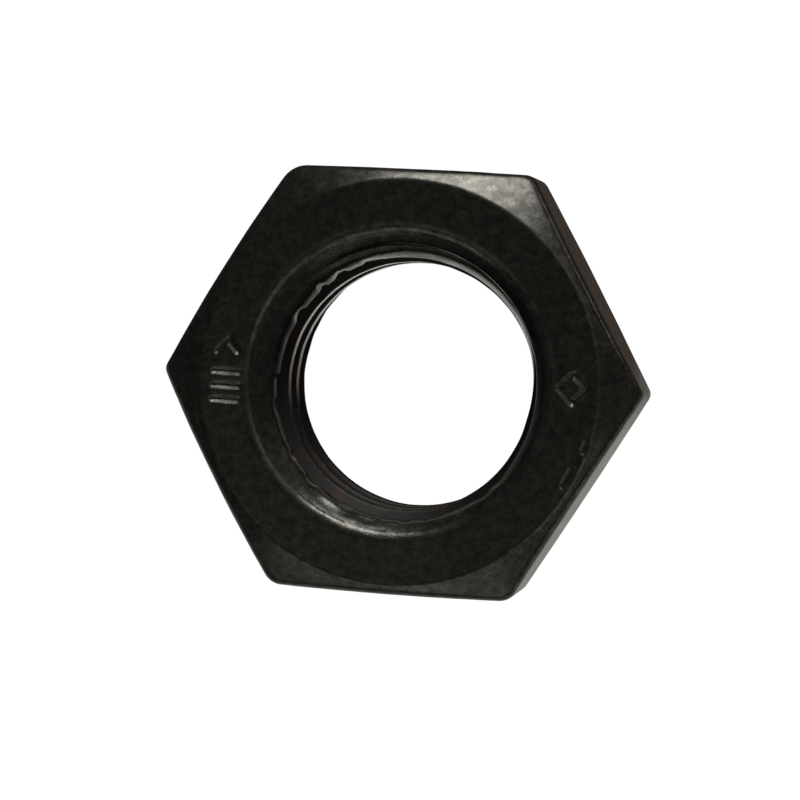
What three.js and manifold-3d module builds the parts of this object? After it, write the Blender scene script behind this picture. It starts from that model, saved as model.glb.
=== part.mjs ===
// Thin hexagon nut, M20 x 2.5 right-hand thread, one forged and tapped piece of steel.
// Millimetres, +Z up. The thread axis is Z, the nut lies on Z = 0, its marked face is on top,
// and two of its six corners point along X.

import * as THREE from 'three';
import { mergeVertices } from 'three/addons/utils/BufferGeometryUtils.js';
import Module from 'manifold-3d';

// Hexagon
const ACROSS_FLATS = 30;
const THICKNESS = 10;
const CORNER_RADIUS = 0.7;
const CORNER_STEPS = 6;

// Both faces are turned down to a round bearing face by a shallow cone.
const BEARING_DIAMETER = 28.4;
const CHAMFER_ANGLE = 29;

// Thread. The flank angle is measured from a plane across the axis.
const MAJOR_DIAMETER = 20;
const MINOR_DIAMETER = 17.7;
const PITCH = 2.5;
const FLANK_ANGLE = 30;
const ROOT_FLAT = PITCH / 8;
const THREAD_START_ANGLE = 138;

// Each mouth of the bore is a cone. The top one is wider, and has a steeper lead-in cone inside it.
// Their angles are measured from the face.
const TOP_MOUTH_DIAMETER = 21.8;
const BOTTOM_MOUTH_DIAMETER = 20.8;
const MOUTH_ANGLE = 30;
const LEAD_IN_DIAMETER = 19.9;
const LEAD_IN_ANGLE = 51;

// Marks stamped into the top face, made of grooves of one width and depth
const MARK_WIDTH = 0.45;
const MARK_DEPTH = 0.25;
const LEFT_MARK_X = -12.2;
const RIGHT_MARK_X = 12.5;
const RIGHT_MARK_Y = 0.3;
const BAR_LENGTH = 1.9;
const BAR_SPACING = 1.0;
const BARS_CENTRE_Y = -0.9;
const CHEVRON_REACH = 1.5;
const CHEVRON_CENTRE_Y = 1.9;
const LOZENGE_REACH = 1.0;

// Faceting of the round surfaces, and how far a cutting shape runs past the face it cuts.
const TURN_STEPS = 64;
const ROUND_STEPS = 96;
const OVERRUN = 1;

const wasm = await Module();
wasm.setup();

const tangent = (degrees) => Math.tan(THREE.MathUtils.degToRad(degrees));

// A closed geometry as a solid that can be joined and cut.
function solidOf(geometry) {
  const bare = geometry.clone();
  bare.deleteAttribute('normal');
  bare.deleteAttribute('uv');
  const merged = mergeVertices(bare, 1e-4);
  return new wasm.Manifold(new wasm.Mesh({
    numProp: 3,
    vertProperties: Float32Array.from(merged.attributes.position.array),
    triVerts: Uint32Array.from(merged.index.array),
  }));
}

// A solid back as a flat-shaded geometry.
function geometryOf(solid) {
  const mesh = solid.getMesh();
  const shared = new THREE.BufferGeometry();
  shared.setAttribute('position', new THREE.BufferAttribute(mesh.vertProperties, 3));
  shared.setIndex(new THREE.BufferAttribute(mesh.triVerts, 1));
  const geometry = shared.toNonIndexed();
  geometry.computeVertexNormals();
  return geometry;
}

// A solid of revolution about Z. The profile is a list of [radius, height] from the bottom of the axis up.
function turned(profile) {
  const points = profile.map(([radius, height]) => new THREE.Vector2(radius, height));
  return new THREE.LatheGeometry(points, ROUND_STEPS).rotateX(Math.PI / 2);
}

// The hexagonal bar, with its six edges rounded.
function hexagonBar() {
  const corner = (ACROSS_FLATS / 2 - CORNER_RADIUS) / Math.cos(Math.PI / 6);
  const outline = new THREE.Shape();
  for (let side = 0; side < 6; side += 1) {
    const angle = side * Math.PI / 3;
    const x = corner * Math.cos(angle);
    const y = corner * Math.sin(angle);
    outline.absarc(x, y, CORNER_RADIUS, angle - Math.PI / 6, angle + Math.PI / 6);
  }
  return new THREE.ExtrudeGeometry(outline, {
    depth: THICKNESS,
    bevelEnabled: false,
    curveSegments: CORNER_STEPS,
  });
}

// The space left after both faces are chamfered: two shallow cones that narrow to the bearing faces.
function chamferEnvelope() {
  const bearing = BEARING_DIAMETER / 2;
  const outside = ACROSS_FLATS;
  const drop = (outside - bearing) * tangent(CHAMFER_ANGLE);
  return turned([
    [0, 0],
    [bearing, 0],
    [outside, drop],
    [outside, Math.max(THICKNESS - drop, drop)],
    [bearing, THICKNESS],
    [0, THICKNESS],
  ]);
}

// A cone that cuts into the bottom face, as a solid that starts outside the face and ends on the axis.
function cone(diameter, angle) {
  const slope = tangent(angle);
  return turned([
    [0, -OVERRUN],
    [diameter / 2 + OVERRUN / slope, -OVERRUN],
    [0, diameter / 2 * slope],
  ]);
}

// The same for the top face. The diameter is the one at a depth below the face.
function topCone(diameter, angle, depth) {
  const atFace = diameter + 2 * depth / tangent(angle);
  const turnedOver = cone(atFace, angle);
  turnedOver.rotateX(Math.PI);
  turnedOver.translate(0, 0, THICKNESS);
  return turnedOver;
}

// The tapped hole as a solid: one strip of surface that follows the helix, each turn sewn to the next,
// closed at both ends by a fan to a point on the axis, outside the nut.
function threadCutter() {
  const minor = MINOR_DIAMETER / 2;
  const major = MAJOR_DIAMETER / 2;
  const flank = (major - minor) * tangent(FLANK_ANGLE);
  const crest = PITCH - ROOT_FLAT - 2 * flank;
  const profile = [
    [minor, 0],
    [minor, crest],
    [major, crest + flank],
    [major, crest + flank + ROOT_FLAT],
  ];
  const spareTurns = 2;
  const turns = Math.ceil(THICKNESS / PITCH) + 2 * spareTurns;
  const start = THREE.MathUtils.degToRad(THREAD_START_ANGLE);
  const bottom = -spareTurns * PITCH;
  const columns = turns * TURN_STEPS;
  const positions = [];
  for (let column = 0; column <= columns + TURN_STEPS; column += 1) {
    const turn = column / TURN_STEPS;
    const angle = start + 2 * Math.PI * (column % TURN_STEPS) / TURN_STEPS;
    for (const [radius, height] of profile) {
      positions.push(radius * Math.cos(angle), radius * Math.sin(angle), bottom + PITCH * turn + height);
    }
  }
  // The last point of a profile is the first point of the profile one turn on.
  const at = (column, row) => (
    row < profile.length ? column * profile.length + row : (column + TURN_STEPS) * profile.length
  );
  const index = [];
  for (let column = 0; column < columns; column += 1) {
    for (let row = 0; row < profile.length; row += 1) {
      index.push(at(column, row), at(column + 1, row), at(column + 1, row + 1));
      index.push(at(column, row), at(column + 1, row + 1), at(column, row + 1));
    }
  }
  const lowPoint = positions.length / 3;
  positions.push(0, 0, bottom - PITCH);
  const highPoint = lowPoint + 1;
  positions.push(0, 0, bottom + PITCH * (turns + 2));
  for (let column = 0; column < TURN_STEPS; column += 1) {
    index.push(lowPoint, at(column + 1, 0), at(column, 0));
    index.push(highPoint, at(columns + column, 0), at(columns + column + 1, 0));
  }
  for (let row = 0; row < profile.length; row += 1) {
    index.push(lowPoint, at(0, row), at(0, row + 1));
    index.push(highPoint, at(columns, row + 1), at(columns, row));
  }
  const strip = new THREE.BufferGeometry();
  strip.setAttribute('position', new THREE.Float32BufferAttribute(positions, 3));
  strip.setIndex(index);
  // Some points of the first and last turns are in no triangle, and go with the index.
  return strip.toNonIndexed();
}

// A straight groove in the top face between two points.
function groove(fromX, fromY, toX, toY) {
  const length = Math.hypot(toX - fromX, toY - fromY) + MARK_WIDTH;
  const bar = new THREE.BoxGeometry(length, MARK_WIDTH, 2 * MARK_DEPTH);
  bar.rotateZ(Math.atan2(toY - fromY, toX - fromX));
  bar.translate((fromX + toX) / 2, (fromY + toY) / 2, THICKNESS);
  return bar;
}

// Plain inspection marks: three bars below a chevron on one side, a lozenge on the other.
function marks() {
  const grooves = [];
  for (let bar = -1; bar <= 1; bar += 1) {
    const y = BARS_CENTRE_Y + bar * BAR_SPACING;
    grooves.push(groove(LEFT_MARK_X - BAR_LENGTH / 2, y, LEFT_MARK_X + BAR_LENGTH / 2, y));
  }
  for (const way of [-1, 1]) {
    const half = CHEVRON_REACH / 2;
    grooves.push(groove(
      LEFT_MARK_X, CHEVRON_CENTRE_Y + half / 2,
      LEFT_MARK_X + way * half, CHEVRON_CENTRE_Y - half / 2,
    ));
  }
  for (let side = 0; side < 4; side += 1) {
    const from = side * Math.PI / 2;
    const to = from + Math.PI / 2;
    grooves.push(groove(
      RIGHT_MARK_X + LOZENGE_REACH * Math.cos(from), RIGHT_MARK_Y + LOZENGE_REACH * Math.sin(from),
      RIGHT_MARK_X + LOZENGE_REACH * Math.cos(to), RIGHT_MARK_Y + LOZENGE_REACH * Math.sin(to),
    ));
  }
  return grooves;
}

function hexNut() {
  let nut = solidOf(hexagonBar()).intersect(solidOf(chamferEnvelope()));
  const leadInDepth = (TOP_MOUTH_DIAMETER - LEAD_IN_DIAMETER) / 2 * tangent(MOUTH_ANGLE);
  const cuts = [
    threadCutter(),
    cone(BOTTOM_MOUTH_DIAMETER, MOUTH_ANGLE),
    topCone(TOP_MOUTH_DIAMETER, MOUTH_ANGLE, 0),
    topCone(LEAD_IN_DIAMETER, LEAD_IN_ANGLE, leadInDepth),
    ...marks(),
  ];
  for (const cut of cuts) {
    nut = nut.subtract(solidOf(cut));
  }
  const steel = new THREE.MeshStandardMaterial({
    name: 'black_oxide',
    color: 0x1a1a19,
    roughness: 0.42,
    metalness: 0.85,
  });
  const mesh = new THREE.Mesh(geometryOf(nut), steel);
  mesh.name = 'hex_nut';
  return mesh;
}

const part = new THREE.Group();
part.add(hexNut());

export default part;
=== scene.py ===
import math

import bpy
import numpy as np
from mathutils import Matrix, Vector


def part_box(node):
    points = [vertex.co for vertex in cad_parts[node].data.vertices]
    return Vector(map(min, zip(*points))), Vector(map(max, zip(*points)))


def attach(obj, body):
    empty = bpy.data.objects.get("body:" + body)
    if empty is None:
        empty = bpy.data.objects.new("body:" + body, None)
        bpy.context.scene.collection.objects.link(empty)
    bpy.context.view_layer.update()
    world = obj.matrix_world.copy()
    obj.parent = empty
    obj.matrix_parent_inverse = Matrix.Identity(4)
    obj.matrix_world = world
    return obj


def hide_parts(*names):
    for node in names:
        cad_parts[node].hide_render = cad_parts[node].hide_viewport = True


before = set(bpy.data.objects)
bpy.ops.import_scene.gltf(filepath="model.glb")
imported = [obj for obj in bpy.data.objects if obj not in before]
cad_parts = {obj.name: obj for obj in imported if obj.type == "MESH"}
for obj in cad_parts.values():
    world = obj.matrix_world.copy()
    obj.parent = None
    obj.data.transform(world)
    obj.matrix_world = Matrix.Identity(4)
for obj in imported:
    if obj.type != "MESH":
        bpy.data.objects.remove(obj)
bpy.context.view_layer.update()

# ---------------------------------------------------------------------------
# Dimensions, in metres. The hexagon's size and place come from the CAD node.
# ---------------------------------------------------------------------------

MM = 0.001
NODE = "hex_nut"
LOW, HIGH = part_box(NODE)
THICKNESS = HIGH.z - LOW.z
APOTHEM = (HIGH.y - LOW.y) / 2

# The corners were rounded by forging, each a little differently, from the one on +X round.
CORNER_RADII = [0.7 * MM, 1.0 * MM, 2.0 * MM, 0.7 * MM, 1.3 * MM, 1.3 * MM]

BEARING_RADIUS = 14.2 * MM
CHAMFER_SLOPE = math.tan(math.radians(29))
FACE_EDGE_ROUND = 0.22 * MM
SIDE_EDGE_ROUND = 0.50 * MM
# How much the edge of the bearing face is rubbed bright, against 1 for the other edges
FACE_EDGE_WEAR = 0.0
# How far the forged surfaces sink here and there below the ideal ones
FACE_UNEVENNESS = 0.012 * MM
SIDE_UNEVENNESS = 0.03 * MM

# The mouths of the bore: (depth below the face, radius) in millimetres, from a rim to inside the
# thread. The top one gets steeper as it goes down.
TOP_RIM_RADIUS = 10.9 * MM
TOP_SLOPE = math.tan(math.radians(53))
TOP_MOUTH = [(0.42, 10.36), (0.98, 9.78), (1.48, 9.34), (2.00, 9.00), (3.0, 8.1)]
BOTTOM_RIM_RADIUS = 10.4 * MM
BOTTOM_SLOPE = math.tan(math.radians(60))
BOTTOM_MOUTH = [(0.25, 9.97), (0.60, 9.30), (0.95, 8.70), (2.0, 7.0)]
MOUTH_ROUND = 0.07 * MM
RIM_ROUND = 0.42 * MM

MAJOR_RADIUS = 10.0 * MM
MINOR_RADIUS = 8.85 * MM
PITCH = 2.5 * MM
CREST_HALF = 0.43 * MM
FLANK_SLOPE = math.tan(math.radians(60))
THREAD_ROUND = 0.05 * MM
# Height of the middle of a crest above the bottom face, at angle 0.
CREST_HEIGHT = 1.97 * MM
# Turning marks cover the bore and its rims out to this radius. The reach is how far they change
# on their way round, as the radius of a circle in the noise.
TURNED_TO = 10.9 * MM
TURNING_REACH = 1.2 * MM
# The hole was tapped a little off the hexagon's centre.
BORE_OFFSET = (0.35 * MM, -0.30 * MM)

# The first crest from the top was left shallow, down to this depth, and is broken into pieces.
FIRST_CREST_RADIUS = 9.25 * MM
FIRST_CREST_END = 3.15 * MM
FIRST_CREST_FADE = 0.35 * MM
FIRST_CREST_ROUND = 0.10 * MM
FIRST_CREST_BREAKS = 0.22 * MM
# On one side it was bent over into a taper, centred on this angle in degrees. On the other side
# only pieces of it were, from and to in degrees, and less.
SIDE_TAPER = 0.36
SIDE_TAPER_ANGLE = 35
PIECE_TAPER = 0.22
PIECES = [(90, 103), (111, 120), (126, 132), (135, 147), (153, 181)]
PIECE_FADE = 1.5
# How wide the edge is rounded where the thread breaks through the mouths
BREAK_ROUND = 0.20 * MM
# Where the first turn of thread is torn into ledges: from and to in degrees, how far that fades out
# beyond them, the depths where it starts and ends, and how high the ledges stand
TORN_FROM = 232
TORN_TO = 272
TORN_FADE = 14
TORN_START = (0.5 * MM, 0.9 * MM)
TORN_END = (2.4 * MM, 1.9 * MM)
LEDGE_HEIGHT = 0.07 * MM
# The bore's offset grows from nothing at the faces to all of it, between these depths.
OFFSET_BLEND = (0.1 * MM, 2.4 * MM)
# The grime in the thread is thin near the top face, where it was wiped, and full below.
GRIME_BLEND = (1.2 * MM, 2.8 * MM)
THIN_GRIME = 0.3
THREAD_UNEVENNESS = 0.010 * MM
MOUTH_UNEVENNESS = 0.012 * MM

# Marks stamped into the top face, as in the CAD node: bars below a chevron, and a lozenge.
MARK_HALF_WIDTH = 0.34 * MM
MARK_DEPTH = 0.21 * MM
LEFT_MARK_X = -12.2 * MM
RIGHT_MARK_X = 12.5 * MM
RIGHT_MARK_Y = 0.3 * MM
BAR_LENGTH = 1.9 * MM
BAR_SPACING = 1.0 * MM
BARS_CENTRE_Y = -0.9 * MM
CHEVRON_REACH = 1.5 * MM
CHEVRON_CENTRE_Y = 1.9 * MM
LOZENGE_REACH = 1.0 * MM

# How much deeper or shallower than that the marks are here and there
MARK_WEAR = 0.12

# Dents in the top face: angle in degrees, distance from the axis, length, half width, depth
DENTS = [
    (-15.5, 14.0 * MM, 0.6 * MM, 0.32 * MM, 0.14 * MM),
    (-25.5, 13.7 * MM, 1.3 * MM, 0.30 * MM, 0.13 * MM),
    (71.0, 12.6 * MM, 0.7 * MM, 0.20 * MM, 0.04 * MM),
    (203.0, 13.2 * MM, 0.9 * MM, 0.18 * MM, 0.04 * MM),
    (148.0, 14.3 * MM, 1.0 * MM, 0.26 * MM, 0.08 * MM),
    (142.5, 13.9 * MM, 0.5 * MM, 0.22 * MM, 0.06 * MM),
]

# Smooth noise in the shape: its wavelength and its seed
THREAD_WAVES = (1.8 * MM, 13)
MOUTH_WAVES = (2.6 * MM, 14)
BREAK_WAVES = (1.5 * MM, 21)
LEDGE_WAVES = (2.0 * MM, 31)
MARK_WAVES = (1.6 * MM, 41)
FORGED_WAVES = (7 * MM, 51)
FINE_FORGED_WAVES = (1.7 * MM, 52)


# ---------------------------------------------------------------------------
# Smooth noise and shaping functions on arrays
# ---------------------------------------------------------------------------

def smooth_max(a, b, width):
    return (a + b + np.sqrt((a - b) ** 2 + width ** 2)) / 2


def smooth_min(a, b, width):
    return (a + b - np.sqrt((a - b) ** 2 + width ** 2)) / 2


def smooth_step(low, high, x):
    t = np.clip((x - low) / (high - low), 0, 1)
    return t * t * (3 - 2 * t)


def waves(points, wavelength, seed, count=24):
    """Smooth noise from about -1 to 1: a sum of plane waves about that long, in random directions."""
    random = np.random.default_rng(seed)
    total = np.zeros(points.shape[:-1])
    for _ in range(count):
        direction = random.normal(size=3)
        direction /= np.linalg.norm(direction)
        length = wavelength * random.uniform(0.7, 1.5)
        phase = random.uniform(0, 2 * math.pi)
        total += np.sin(points @ direction * (2 * math.pi / length) + phase)
    return total / math.sqrt(count)


# ---------------------------------------------------------------------------
# The nut's surface, as rings of points round the thread axis
# ---------------------------------------------------------------------------

# Stretches that need closer columns: from and to in degrees, and the spacing there
FINE_STRETCHES = [
    (-30, 9, 0.45),
    (55, 65, 0.5),
    (84, 182, 0.85),
    (168, 195, 0.40),
    (225, 275, 0.75),
    (295, 305, 0.5),
]
COARSE_SPACING = 1.25
ANGLE_SAMPLES = 7201

# Rings across each rounded corner of the section
TOP_RIM_RINGS = 9
FACE_EDGE_RINGS = 5
SIDE_EDGE_RINGS = 7
BOTTOM_RIM_RINGS = 6
# Rings across each straight run between them
TOP_FACE_RINGS = 23
TOP_CHAMFER_RINGS = 6
SIDE_RINGS = 9
BOTTOM_CHAMFER_RINGS = 5
BOTTOM_FACE_RINGS = 8
# How close to a rim a ring in the bore may come before it is merged into the rim
RIM_MARGIN = 0.04 * MM


def column_angles():
    """Angles round the axis, closer together at the corners, the marks and the rough parts."""
    samples = np.linspace(0, 2 * math.pi, ANGLE_SAMPLES)
    degrees = np.degrees(samples)
    spacing = np.full_like(degrees, COARSE_SPACING)
    for start, end, step in FINE_STRETCHES:
        inside = ((degrees - start) % 360) <= (end - start)
        spacing[inside] = np.minimum(spacing[inside], step)
    steps_per_sample = np.diff(samples) / np.radians((spacing[1:] + spacing[:-1]) / 2)
    steps = np.concatenate([[0], np.cumsum(steps_per_sample)])
    count = int(round(steps[-1]))
    return np.interp(np.arange(count) * steps[-1] / count, steps, samples)


def hexagon_radius(angles):
    """Distance from the axis to the side of the hexagon, whose corners are arcs."""
    degrees = np.degrees(angles) % 360
    corner = np.round(degrees / 60).astype(int) % 6
    offset = np.radians((degrees - corner * 60 + 180) % 360 - 180)
    rounding = np.array(CORNER_RADII)[corner]
    centre = (APOTHEM - rounding) / math.cos(math.pi / 6)
    arc_end = np.arctan2(rounding * 0.5, centre + rounding * math.cos(math.pi / 6))
    flat = APOTHEM / np.cos(math.pi / 6 - np.abs(offset))
    across = np.maximum(rounding ** 2 - (centre * np.sin(offset)) ** 2, 0)
    arc = centre * np.cos(offset) + np.sqrt(across)
    return np.where(np.abs(offset) < arc_end, arc, flat)


def rounded_corner(before, corner, after, setback, count, wear=1.0):
    """Rings round off a corner of the section, each a radius, a height and how bright it is rubbed."""
    def towards(target):
        span_r = target[0] - corner[0]
        span_z = target[1] - corner[1]
        length = np.hypot(span_r, span_z)
        return corner[0] + span_r / length * setback, corner[1] + span_z / length * setback

    start = towards(before)
    end = towards(after)
    rings = []
    for s in np.linspace(0, 1, count):
        a, b, c = (1 - s) ** 2, 2 * s * (1 - s), s ** 2
        rings.append((
            a * start[0] + b * corner[0] + c * end[0],
            a * start[1] + b * corner[1] + c * end[1],
            math.sin(math.pi * s) * wear,
        ))
    return rings


def straight(start, end, count):
    """Rings strictly between two others."""
    rings = []
    for s in np.linspace(0, 1, count + 2)[1:-1]:
        rings.append((start[0] + (end[0] - start[0]) * s, start[1] + (end[1] - start[1]) * s, 0))
    return rings


def outer_rings(angles):
    """From the top of the bore over the top face, down the side and back over the bottom face."""
    ones = np.ones_like(angles)
    side = hexagon_radius(angles)
    drop = (side - BEARING_RADIUS) * CHAMFER_SLOPE
    top = HIGH.z * ones
    bottom = LOW.z * ones
    rim = TOP_RIM_RADIUS * ones
    low_rim = BOTTOM_RIM_RADIUS * ones
    mouth = rim - TOP_SLOPE * RIM_ROUND
    low_mouth = low_rim - BOTTOM_SLOPE * RIM_ROUND
    bearing = BEARING_RADIUS * ones

    high_corner = (side, top - drop)
    low_corner = (side, bottom + drop)

    # The corners of the section, in order: each with the rounding, its rings and the rings before it
    section = [
        ((mouth, top - RIM_ROUND), None),
        ((rim, top), (RIM_ROUND, TOP_RIM_RINGS, 1.0, 0)),
        ((bearing, top), (FACE_EDGE_ROUND, FACE_EDGE_RINGS, FACE_EDGE_WEAR, TOP_FACE_RINGS)),
        (high_corner, (SIDE_EDGE_ROUND, SIDE_EDGE_RINGS, 1.0, TOP_CHAMFER_RINGS)),
        (low_corner, (SIDE_EDGE_ROUND, SIDE_EDGE_RINGS, 1.0, SIDE_RINGS)),
        ((bearing, bottom), (FACE_EDGE_ROUND, FACE_EDGE_RINGS, FACE_EDGE_WEAR, BOTTOM_CHAMFER_RINGS)),
        ((low_rim, bottom), (RIM_ROUND, BOTTOM_RIM_RINGS, 1.0, BOTTOM_FACE_RINGS)),
        ((low_mouth, bottom + RIM_ROUND), None),
    ]
    rings = []
    for before, here, after in zip(section, section[1:], section[2:]):
        setback, count, wear, rings_before = here[1]
        rounded = rounded_corner(before[0], here[0], after[0], setback, count, wear)
        if rings:
            rings += straight(rings[-1], rounded[0], rings_before)
        rings += rounded
    return rings


def thread_offsets():
    """Places of the rings in one turn of thread, from the middle of a crest, closer at its edges."""
    edge = CREST_HALF / MM
    root = PITCH / MM / 2
    half = [0.15, 0.27, edge - 0.08, edge - 0.02, edge + 0.03, edge + 0.09, edge + 0.2, edge + 0.32,
            edge + 0.44, edge + 0.55, edge + 0.61, edge + 0.67, edge + 0.74]
    offsets = [-value for value in reversed(half)] + [0] + half + [root]
    return np.array(offsets) * MM


def mouth_radius(depths, rim_radius, slope, below):
    """Radius of a mouth of the bore at depths below its face, its section's corners rounded."""
    outside = 1.0
    table = [(-outside, rim_radius / MM + outside * slope), (0, rim_radius / MM)] + below
    fine = np.linspace(-outside, below[-1][0], 801)
    radii = np.interp(fine, [depth for depth, _ in table], [radius for _, radius in table])
    step = fine[1] - fine[0]
    reach = int(round(3 * MOUTH_ROUND / MM / step))
    kernel = np.exp(-0.5 * (np.arange(-reach, reach + 1) * step * MM / MOUTH_ROUND) ** 2)
    kernel /= kernel.sum()
    padded = np.pad(radii, reach, mode="reflect", reflect_type="odd")
    rounded = np.convolve(padded, kernel, mode="valid")
    return np.interp(depths / MM, fine, rounded) * MM


def stretch_weight(degrees, start, end, fade):
    """1 within a stretch of angles and 0 outside it, with a soft end at both."""
    middle = (start + end) / 2
    away = np.abs((degrees - middle + 180) % 360 - 180)
    return smooth_step((end - start) / 2 + fade, (end - start) / 2 - fade, away)


def bore_radius(angles, heights, crest_distance):
    """Radius of the tapped hole and its two mouths, and how much of each point is crest and groove."""
    distance = np.abs(crest_distance)
    degrees = np.degrees(angles)
    around = np.stack([np.cos(angles) * MINOR_RADIUS, np.sin(angles) * MINOR_RADIUS, heights], axis=-1)
    depth = HIGH.z - heights
    rise = heights - LOW.z
    nearest_face = np.minimum(depth, rise)
    inside = smooth_step(*OFFSET_BLEND, nearest_face)
    shift = BORE_OFFSET[0] * np.cos(angles) + BORE_OFFSET[1] * np.sin(angles)

    # Each crest is as deep as its middle is below the top face.
    crest_depth = depth + crest_distance
    shallow = smooth_step(FIRST_CREST_END, FIRST_CREST_END - FIRST_CREST_FADE, crest_depth)
    broken = smooth_step(0.1, 0.8, waves(around * np.array([1, 1, 0.4]), *BREAK_WAVES))
    side = smooth_step(0.1, 0.6, np.cos(angles - math.radians(SIDE_TAPER_ANGLE)))
    pieces = sum(stretch_weight(degrees, start, end, PIECE_FADE) for start, end in PIECES)
    whole = np.maximum(side, pieces)
    taper = np.maximum(side * SIDE_TAPER, pieces * PIECE_TAPER)
    first = FIRST_CREST_RADIUS + (1 - whole) * (0.4 + 0.6 * broken) * FIRST_CREST_BREAKS
    first = first + taper * crest_distance
    minor = MINOR_RADIUS + shallow * (first - MINOR_RADIUS)
    thread = MINOR_RADIUS + FLANK_SLOPE * (distance - CREST_HALF)
    thread = smooth_max(thread, minor, THREAD_ROUND + shallow * FIRST_CREST_ROUND)
    thread = smooth_min(thread, MAJOR_RADIUS, THREAD_ROUND)
    groove = smooth_step(CREST_HALF - 0.06 * MM, CREST_HALF + 0.06 * MM, distance)
    thread = thread + shift + waves(around, *THREAD_WAVES) * THREAD_UNEVENNESS

    top = mouth_radius(depth, TOP_RIM_RADIUS, TOP_SLOPE, TOP_MOUTH)
    # Ledges that run a little way round, where the tap tore the metal
    torn = stretch_weight(degrees, TORN_FROM, TORN_TO, TORN_FADE)
    torn = torn * smooth_step(*TORN_START, depth) * smooth_step(*TORN_END, depth)
    ledges = waves(around * np.array([1, 1, 3.2]), *LEDGE_WAVES)
    top = top + torn * ledges * LEDGE_HEIGHT
    top = top + inside * (shift + waves(around, *MOUTH_WAVES) * MOUTH_UNEVENNESS)
    bottom = mouth_radius(rise, BOTTOM_RIM_RADIUS, BOTTOM_SLOPE, BOTTOM_MOUTH)
    bottom = bottom + inside * shift

    mouths = np.maximum(top, bottom)
    radius = smooth_max(thread, mouths, np.where(depth < rise, BREAK_ROUND, THREAD_ROUND))
    shown = smooth_step(-0.05 * MM, 0.1 * MM, thread - mouths)
    grime = THIN_GRIME + (1 - THIN_GRIME) * smooth_step(*GRIME_BLEND, depth)
    return radius, (1 - groove) * shown, groove * shown * grime


def segment_distance(x, y, start, end):
    """Distance of each point from a straight stroke."""
    span = np.array(end) - np.array(start)
    along = ((x - start[0]) * span[0] + (y - start[1]) * span[1]) / (span @ span)
    along = np.clip(along, 0, 1)
    return np.hypot(x - start[0] - along * span[0], y - start[1] - along * span[1])


def mark_strokes():
    """The strokes of the stamped marks, each from one point to another."""
    strokes = []
    for bar in (-1, 0, 1):
        y = BARS_CENTRE_Y + bar * BAR_SPACING
        strokes.append(((LEFT_MARK_X - BAR_LENGTH / 2, y), (LEFT_MARK_X + BAR_LENGTH / 2, y)))
    half = CHEVRON_REACH / 2
    for way in (-1, 1):
        strokes.append((
            (LEFT_MARK_X, CHEVRON_CENTRE_Y + half / 2),
            (LEFT_MARK_X + way * half, CHEVRON_CENTRE_Y - half / 2),
        ))
    corners = []
    for side in range(4):
        angle = side * math.pi / 2
        corners.append((
            RIGHT_MARK_X + LOZENGE_REACH * math.cos(angle),
            RIGHT_MARK_Y + LOZENGE_REACH * math.sin(angle),
        ))
    for side in range(4):
        strokes.append((corners[side], corners[(side + 1) % 4]))
    return strokes


def face_relief(x, y):
    """Height of the stamped marks and the dents on the top face."""
    nearest = np.full_like(x, 1.0)
    for start, end in mark_strokes():
        nearest = np.minimum(nearest, segment_distance(x, y, start, end))
    place = np.stack([x, y, np.zeros_like(x)], axis=-1)
    worn = 1 + MARK_WEAR * waves(place, *MARK_WAVES)
    relief = -MARK_DEPTH * worn * np.clip(1 - nearest / MARK_HALF_WIDTH, 0, 1)
    for angle, distance, length, half_width, depth in DENTS:
        turn = math.radians(angle)
        centre = np.array([math.cos(turn), math.sin(turn)]) * distance
        along = np.array([-math.sin(turn), math.cos(turn)]) * length / 2
        away = segment_distance(x, y, centre - along, centre + along)
        relief = np.minimum(relief, -depth * (1 - smooth_step(0, half_width, away)))
    return relief


def forge(points, radii, heights):
    """Make the outside slightly uneven, only ever lower than the ideal, and stamp its top face."""
    def sunk(wave_settings):
        return (1 + np.clip(waves(shape, *wave_settings), -1, 1)) / 2

    shape = points.copy()
    uneven = 0.7 * sunk(FORGED_WAVES) + 0.3 * sunk(FINE_FORGED_WAVES)
    beyond_rim = smooth_step(11.2 * MM, 12.2 * MM, radii)
    on_side = smooth_step(0, 0.5 * MM, radii - BEARING_RADIUS) * beyond_rim
    inward = 1 - SIDE_UNEVENNESS * on_side * uneven / radii
    points[..., 0] *= inward
    points[..., 1] *= inward
    near_top = smooth_step(0.4 * MM, 0.05 * MM, HIGH.z - heights)
    points[..., 2] -= FACE_UNEVENNESS * near_top * beyond_rim * uneven
    on_face = near_top * smooth_step(TOP_RIM_RADIUS, TOP_RIM_RADIUS + 0.3 * MM, radii)
    points[..., 2] += face_relief(points[..., 0], points[..., 1]) * on_face


def strip_faces(low_ring, high_ring, next_low, next_high):
    """Faces between two rings. Corners that fall together are merged, and empty faces left out."""
    faces = []
    for a, b, c, d in zip(low_ring, next_low, next_high, high_ring):
        corners = [a]
        for corner in (b, c, d):
            if corner != corners[-1] and corner != corners[0]:
                corners.append(corner)
        if len(corners) > 2:
            faces.append([int(corner) for corner in corners])
    return faces


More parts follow.
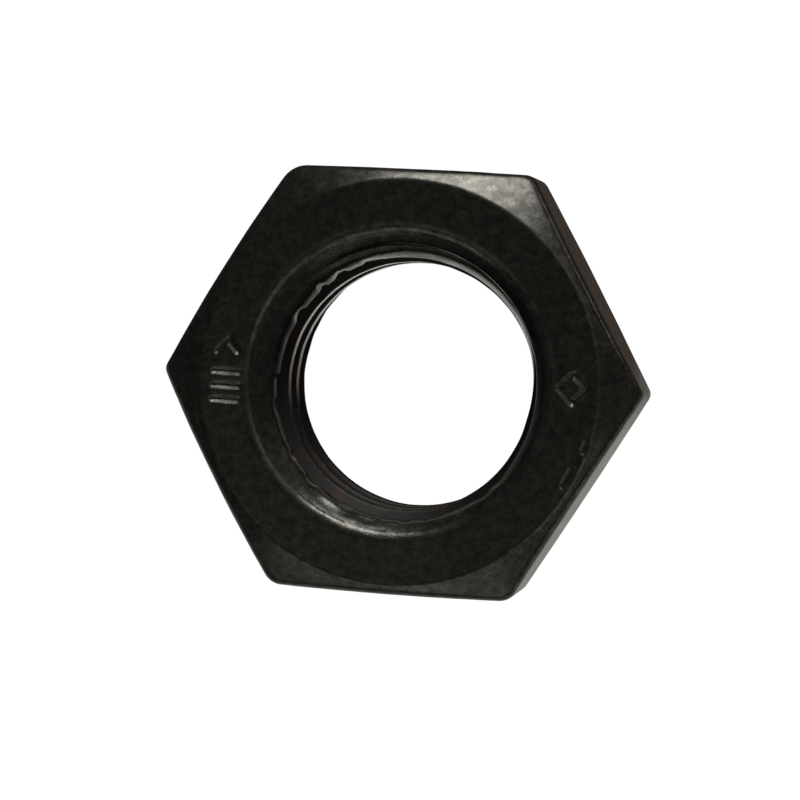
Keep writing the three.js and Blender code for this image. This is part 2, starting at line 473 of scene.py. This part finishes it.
def build_nut_mesh():
    angles = column_angles()
    columns = len(angles)

    # Rings outside the bore
    outer = outer_rings(angles)
    ones = np.ones_like(angles)
    radii = np.array([ring[0] for ring in outer])
    heights = np.array([ring[1] for ring in outer])
    edge_weight = np.array([ring[2] * ones for ring in outer])
    points = np.stack([radii * np.cos(angles), radii * np.sin(angles), heights], axis=-1)
    forge(points, radii, heights)

    # Rings in the bore follow the helix, so they run off both ends of it
    offsets = thread_offsets()
    per_turn = len(offsets)
    turns = int(math.ceil((THICKNESS + PITCH) / PITCH)) + 2
    start = LOW.z + CREST_HEIGHT - PITCH * (math.floor(CREST_HEIGHT / PITCH) + 2)
    base = start + np.arange(turns)[:, None] * PITCH + offsets[None, :]
    base = base.reshape(-1)
    bore_heights = base[:, None] + PITCH * angles[None, :] / (2 * math.pi)
    crest_distance = np.tile(offsets, turns)[:, None] * np.ones_like(bore_heights)
    bore_angles = np.ones_like(bore_heights) * angles
    bore_radii, crests, grooves = bore_radius(bore_angles, bore_heights, crest_distance)
    bore_points = np.stack([
        bore_radii * np.cos(bore_angles),
        bore_radii * np.sin(bore_angles),
        bore_heights,
    ], axis=-1)

    # Points of the bore beyond a rim become the rim's own.
    count = columns * len(outer)
    outer_index = np.arange(count).reshape(len(outer), columns)
    above = bore_heights >= outer[0][1] - RIM_MARGIN
    below = bore_heights <= outer[-1][1] + RIM_MARGIN
    own = ~(above | below)
    bore_index = np.where(above, outer_index[0][None, :], outer_index[-1][None, :])
    bore_index[own] = count + np.arange(own.sum())
    vertices = np.concatenate([points.reshape(-1, 3), bore_points[own]])

    # Turning marks change quickly across the section, and slowly on their way round.
    across = np.concatenate([(radii - heights).reshape(-1), (bore_radii - bore_heights)[own]])
    around = np.concatenate([np.tile(angles, len(outer)), bore_angles[own]])
    turning = np.stack([
        across,
        TURNING_REACH * np.cos(around),
        TURNING_REACH * np.sin(around),
    ], axis=-1)
    on_rim = smooth_step(TURNED_TO + 0.3 * MM, TURNED_TO, radii)
    weights = {
        "turned": np.concatenate([on_rim.reshape(-1), np.ones(own.sum())]),
        "edge": np.concatenate([edge_weight.reshape(-1), np.zeros(own.sum())]),
        "crest": np.concatenate([np.zeros(count), crests[own]]),
        "groove": np.concatenate([np.zeros(count), grooves[own]]),
    }

    faces = []
    for here, after in zip(outer_index, outer_index[1:]):
        faces += strip_faces(here, after, np.roll(here, -1), np.roll(after, -1))
    last = len(base) - 1
    for row in range(last):
        here, after = bore_index[row], bore_index[row + 1]
        next_here, next_after = np.roll(here, -1), np.roll(after, -1)
        # One turn on, each ring meets the ring one pitch higher.
        next_here[-1] = bore_index[min(row + per_turn, last)][0]
        next_after[-1] = bore_index[min(row + 1 + per_turn, last)][0]
        faces += strip_faces(here, after, next_here, next_after)

    mesh = bpy.data.meshes.new("hex_nut_finished")
    mesh.from_pydata(vertices.tolist(), [], faces)
    mesh.validate()
    mesh.polygons.foreach_set("use_smooth", np.ones(len(mesh.polygons), dtype=bool))
    for name, values in weights.items():
        attribute = mesh.attributes.new(name, "FLOAT", "POINT")
        attribute.data.foreach_set("value", values.astype(np.float32))
    attribute = mesh.attributes.new("turning", "FLOAT_VECTOR", "POINT")
    attribute.data.foreach_set("vector", turning.astype(np.float32).reshape(-1))
    mesh.update()
    return mesh


# ---------------------------------------------------------------------------
# Material
# ---------------------------------------------------------------------------

METALNESS = 0.9
# Noise of each layer: cells in a metre, detail, roughness
OXIDE_NOISE = (1500, 8, 0.82)
PATCH_NOISE = (140, 3, 0.5)
RUST_NOISE = (300, 5, 0.6)
RUB_NOISE = (650, 6, 0.7)
GLOSS_NOISE = (1100, 8, 0.65)
GRAIN_NOISE = (3000, 6, 0.62)
SCRATCH_NOISE = (420, 5, 0.7)
RING_NOISE = (5000, 4, 0.6)
SCRATCH_STRETCH = (1, 9, 9)

# Colours, dark to light across the noise where there are several
OXIDE_TONES = [
    (0.38, (0.021, 0.021, 0.019)),
    (0.50, (0.036, 0.035, 0.030)),
    (0.62, (0.060, 0.057, 0.048)),
]
GRIME = (0.010, 0.009, 0.008)
RUST = (0.022, 0.011, 0.008)
BARE_STEEL = (0.13, 0.127, 0.12)
RUBBED_BRIGHT = 0.35

WORN_ROUGHNESS = 0.24
GRIMY_ROUGHNESS = 0.55

# Depth of each kind of bump, and how strongly it shows
GRAIN_BUMP = (0.008 * MM, 0.6)
SCRATCH_BUMP = (0.012 * MM, 0.4)
RING_DEPTH = 0.04 * MM
RING_STRENGTH = 0.8


def black_oxide():
    """Black-oxide steel: mottled, a little brown in the thread, rubbed brighter on edges and crests."""
    material = bpy.data.materials.new("black_oxide_steel")
    material.use_nodes = True
    nodes, links = material.node_tree.nodes, material.node_tree.links
    shader = nodes["Principled BSDF"]
    shader.inputs["Metallic"].default_value = METALNESS
    place = nodes.new("ShaderNodeTexCoord")

    def noise_at(vector, per_metre, detail, roughness):
        node = nodes.new("ShaderNodeTexNoise")
        node.inputs["Scale"].default_value = per_metre
        node.inputs["Detail"].default_value = detail
        node.inputs["Roughness"].default_value = roughness
        links.new(vector, node.inputs["Vector"])
        return node.outputs["Fac"]

    def noise(per_metre, detail, roughness, stretch=(1, 1, 1)):
        mapping = nodes.new("ShaderNodeMapping")
        mapping.inputs["Scale"].default_value = stretch
        links.new(place.outputs["Object"], mapping.inputs["Vector"])
        return noise_at(mapping.outputs["Vector"], per_metre, detail, roughness)

    def ramp(source, stops):
        node = nodes.new("ShaderNodeValToRGB")
        while len(node.color_ramp.elements) < len(stops):
            node.color_ramp.elements.new(0.5)
        for element, (position, colour) in zip(node.color_ramp.elements, stops):
            element.position = position
            element.color = (*colour, 1)
        links.new(source, node.inputs["Fac"])
        return node.outputs["Color"]

    def grey(value):
        return (value, value, value)

    def maths(operation, first, second):
        node = nodes.new("ShaderNodeMath")
        node.operation = operation
        node.use_clamp = True
        for socket, value in zip(node.inputs, (first, second)):
            if isinstance(value, (int, float)):
                socket.default_value = value
            else:
                links.new(value, socket)
        return node.outputs["Value"]

    def mixed(factor, below, above):
        node = nodes.new("ShaderNodeMix")
        node.data_type = "RGBA"
        links.new(factor, node.inputs[0])
        for socket, value in zip((node.inputs[6], node.inputs[7]), (below, above)):
            if isinstance(value, tuple):
                socket.default_value = (*value, 1)
            else:
                links.new(value, socket)
        return node.outputs[2]

    def multiplied(first, second):
        node = nodes.new("ShaderNodeMix")
        node.data_type = "RGBA"
        node.blend_type = "MULTIPLY"
        node.inputs[0].default_value = 1
        links.new(first, node.inputs[6])
        links.new(second, node.inputs[7])
        return node.outputs[2]

    def weight(name):
        node = nodes.new("ShaderNodeAttribute")
        node.attribute_name = name
        return node.outputs["Fac"]

    def bumped(height, depth, strength, under=None):
        """A bump on top of the normal under it. The strength is a number or an output."""
        node = nodes.new("ShaderNodeBump")
        node.inputs["Distance"].default_value = depth
        if isinstance(strength, float):
            node.inputs["Strength"].default_value = strength
        else:
            links.new(strength, node.inputs["Strength"])
        links.new(height, node.inputs["Height"])
        if under:
            links.new(under, node.inputs["Normal"])
        return node.outputs["Normal"]

    oxide = ramp(noise(*OXIDE_NOISE), OXIDE_TONES)
    patches = ramp(noise(*PATCH_NOISE), [(0.36, grey(0.84)), (0.64, grey(1))])
    oxide = multiplied(oxide, patches)
    rust = ramp(noise(*RUST_NOISE), [(0.52, grey(0)), (0.70, grey(1))])
    brown = mixed(weight("groove"), oxide, mixed(rust, GRIME, RUST))
    rub = ramp(noise(*RUB_NOISE), [(0.44, grey(0)), (0.66, grey(1))])
    worn = maths("MULTIPLY", rub, maths("ADD", weight("edge"), weight("crest")))
    colour = mixed(maths("MULTIPLY", worn, RUBBED_BRIGHT), brown, BARE_STEEL)
    links.new(colour, shader.inputs["Base Color"])

    rough = ramp(noise(*GLOSS_NOISE), [(0.30, grey(0.23)), (0.70, grey(0.37))])
    rough = mixed(worn, rough, grey(WORN_ROUGHNESS))
    rough = mixed(weight("groove"), rough, grey(GRIMY_ROUGHNESS))
    links.new(rough, shader.inputs["Roughness"])

    grain = bumped(noise(*GRAIN_NOISE), *GRAIN_BUMP)
    scratches = noise(*SCRATCH_NOISE, stretch=SCRATCH_STRETCH)
    scratched = bumped(scratches, *SCRATCH_BUMP, under=grain)
    round_bore = nodes.new("ShaderNodeAttribute")
    round_bore.attribute_name = "turning"
    rings = noise_at(round_bore.outputs["Vector"], *RING_NOISE)
    ring_strength = maths("MULTIPLY", weight("turned"), RING_STRENGTH)
    turned = bumped(rings, RING_DEPTH, ring_strength, under=scratched)
    links.new(turned, shader.inputs["Normal"])
    return material


# ---------------------------------------------------------------------------
# Stage, lights and camera
# ---------------------------------------------------------------------------

def direction(azimuth, elevation):
    a, e = math.radians(azimuth), math.radians(elevation)
    return Vector((math.cos(e) * math.cos(a), math.cos(e) * math.sin(a), math.sin(e)))


# Each light is a rectangle facing the nut: where it stands, in degrees and metres, its width and
# height in metres, its radiance, which is what a mirror facing it would show, and its colour.
LIGHTS = {
    "key": (86, 32, 0.6, 0.34, 0.17, 19, (1, 1, 1)),
    "key_low": (90, 16, 0.6, 0.24, 0.13, 9.0, (1, 1, 1)),
    "low_right": (321, 47, 0.6, 0.36, 0.18, 1.3, (1, 1, 1)),
    "high_right": (37, 48, 0.6, 0.28, 0.18, 1.1, (1, 1, 1)),
    "high_edge": (42, 3, 0.6, 0.46, 0.05, 6.0, (1, 0.92, 0.84)),
    "low_edge": (318, 3, 0.6, 0.40, 0.05, 2.2, (1, 0.97, 0.93)),
    "low_fill": (262, 30, 0.7, 0.80, 0.15, 1.9, (1, 1, 0.98)),
    "overhead": (230, 68, 0.6, 0.22, 0.22, 0.42, (1, 1, 0.97)),
}


def soft_light(name, azimuth, elevation, distance, width, height, radiance, colour):
    light = bpy.data.lights.new(name, "AREA")
    light.shape = "RECTANGLE"
    light.size = width
    light.size_y = height
    light.energy = radiance * math.pi * width * height
    light.color = colour
    lamp = bpy.data.objects.new(name, light)
    lamp.location = direction(azimuth, elevation) * distance
    lamp.rotation_euler = direction(azimuth, elevation).to_track_quat("Z", "Y").to_euler()
    bpy.context.scene.collection.objects.link(lamp)


FLOOR_HALF = 3.0
FLOOR_GAP = 0.02 * MM
FLOOR_SEEN = (1.0, 1.0, 1.0)
FLOOR_BASE = (0.05, 0.05, 0.05)
# The floor's tone in reflections on the +Y side and on the -Y side of the nut, and under the bore:
# painted light and shade.
# Painted shade on the +Y side and painted light on the -Y side of the nut
FLOOR_FAR_PAINTED_SHADE = (0.066, 0.044, 0.030)
FLOOR_NEAR_PAINTED_LIGHT = (0.56, 0.55, 0.51)
# Under the bore, painted light on the +Y side and a painted shadow, nearly black, on the -Y side
FLOOR_IN_BORE_FAR_PAINTED_LIGHT = (1.10, 1.08, 1.02)
FLOOR_IN_BORE_NEAR_PAINTED_SHADOW = (0.005, 0.004, 0.004)


# Where the painted tone changes from near to far, along Y, and from under the bore to outside, by
# radius
FLOOR_CHANGE = (-4 * MM, 3 * MM)
FLOOR_IN_BORE_CHANGE = (-2 * MM, 3.5 * MM)
BORE_EDGE = (11 * MM, 12 * MM)
WORLD_SEEN = (1.0, 1.0, 1.0)
WORLD_REFLECTED = (0.085, 0.085, 0.082)


def seen_or_reflected(nodes, links, seen, reflected):
    """A colour that the camera sees directly, and another one for light and reflections."""
    path = nodes.new("ShaderNodeLightPath")
    mix = nodes.new("ShaderNodeMix")
    mix.data_type = "RGBA"
    mix.inputs[7].default_value = (*seen, 1)
    if isinstance(reflected, tuple):
        mix.inputs[6].default_value = (*reflected, 1)
    else:
        links.new(reflected, mix.inputs[6])
    links.new(path.outputs["Is Camera Ray"], mix.inputs[0])
    return mix.outputs[2]


def painted_floor_light_and_shade(nodes, links):
    """The floor's tone in reflections: painted light and shade, brighter or darker by where it lies
    under and around the nut.
    """
    place = nodes.new("ShaderNodeTexCoord")
    parts = nodes.new("ShaderNodeSeparateXYZ")
    links.new(place.outputs["Object"], parts.inputs["Vector"])

    def across(source, change, below, above):
        place_between = nodes.new("ShaderNodeMapRange")
        place_between.inputs["From Min"].default_value = change[0]
        place_between.inputs["From Max"].default_value = change[1]
        links.new(source, place_between.inputs["Value"])
        mix = nodes.new("ShaderNodeMix")
        mix.data_type = "RGBA"
        links.new(place_between.outputs["Result"], mix.inputs[0])
        for socket, value in zip((mix.inputs[6], mix.inputs[7]), (below, above)):
            if isinstance(value, tuple):
                socket.default_value = (*value, 1)
            else:
                links.new(value, socket)
        return mix.outputs[2]

    along_y = parts.outputs["Y"]
    outside = across(along_y, FLOOR_CHANGE, FLOOR_NEAR_PAINTED_LIGHT, FLOOR_FAR_PAINTED_SHADE)
    in_bore = across(along_y, FLOOR_IN_BORE_CHANGE, FLOOR_IN_BORE_NEAR_PAINTED_SHADOW, FLOOR_IN_BORE_FAR_PAINTED_LIGHT)
    length = nodes.new("ShaderNodeVectorMath")
    length.operation = "LENGTH"
    links.new(place.outputs["Object"], length.inputs[0])
    return across(length.outputs["Value"], BORE_EDGE, in_bore, outside)


def pale_floor():
    mesh = bpy.data.meshes.new("floor")
    corners = [(-1, -1), (1, -1), (1, 1), (-1, 1)]
    mesh.from_pydata([(x * FLOOR_HALF, y * FLOOR_HALF, 0) for x, y in corners], [], [(0, 1, 2, 3)])
    material = bpy.data.materials.new("pale_floor")
    material.use_nodes = True
    nodes, links = material.node_tree.nodes, material.node_tree.links
    shader = nodes["Principled BSDF"]
    shader.inputs["Base Color"].default_value = (*FLOOR_BASE, 1)
    shader.inputs["Roughness"].default_value = 1.0
    shader.inputs["Specular IOR Level"].default_value = 0.0
    shader.inputs["Emission Strength"].default_value = 1.0
    # The floor glows: evenly white where the camera sees it, and with painted light and shade in
    # reflections and in the light it throws on the nut.
    glow = seen_or_reflected(nodes, links, FLOOR_SEEN, painted_floor_light_and_shade(nodes, links))
    links.new(glow, shader.inputs["Emission Color"])
    mesh.materials.append(material)
    floor = bpy.data.objects.new("floor", mesh)
    floor.location = (0, 0, LOW.z - FLOOR_GAP)
    bpy.context.scene.collection.objects.link(floor)


def studio_world():
    world = bpy.data.worlds.new("studio")
    world.use_nodes = True
    nodes, links = world.node_tree.nodes, world.node_tree.links
    colour = seen_or_reflected(nodes, links, WORLD_SEEN, WORLD_REFLECTED)
    links.new(colour, nodes["Background"].inputs["Color"])
    bpy.context.scene.world = world


# The camera stands a little to the +X side of the nut's axis, and is turned a little about its own.
VIEW_DISTANCE = 175 * MM
VIEW_TILT_X = math.radians(10.74)
VIEW_TILT_Y = math.radians(1.02)
VIEW_ROLL = math.radians(3.21)
VIEW_AIM = (0.34 * MM, -1.24 * MM)
VIEW_LENS = 112.6
SENSOR = 36


def studio_camera():
    turn = Matrix.Rotation(VIEW_ROLL, 3, "Z")
    towards_camera = turn @ Vector((
        math.sin(VIEW_TILT_X) * math.cos(VIEW_TILT_Y),
        math.sin(VIEW_TILT_Y),
        math.cos(VIEW_TILT_X) * math.cos(VIEW_TILT_Y),
    ))
    right = (turn @ Vector((0, 1, 0))).cross(towards_camera).normalized()
    up = towards_camera.cross(right)
    face_centre = Vector((0, 0, HIGH.z))
    position = face_centre + towards_camera * VIEW_DISTANCE
    target = face_centre + right * VIEW_AIM[0] + up * VIEW_AIM[1]
    backward = (position - target).normalized()
    right = up.cross(backward).normalized()
    up = backward.cross(right)
    camera = bpy.data.objects.new("camera", bpy.data.cameras.new("camera"))
    camera.data.lens = VIEW_LENS
    camera.data.sensor_width = SENSOR
    camera.data.clip_start = 0.01
    camera.matrix_world = Matrix((
        (right.x, up.x, backward.x, position.x),
        (right.y, up.y, backward.y, position.y),
        (right.z, up.z, backward.z, position.z),
        (0, 0, 0, 1),
    ))
    bpy.context.scene.collection.objects.link(camera)
    bpy.context.scene.camera = camera


def main():
    studio_camera()
    bpy.context.scene.view_settings.view_transform = "Standard"
    nut = bpy.data.objects.new("hex_nut_body", build_nut_mesh())
    bpy.context.scene.collection.objects.link(nut)
    nut.data.materials.append(black_oxide())
    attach(nut, "root")
    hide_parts(NODE)
    pale_floor()
    studio_world()
    for name, settings in LIGHTS.items():
        soft_light(name, *settings)


main()
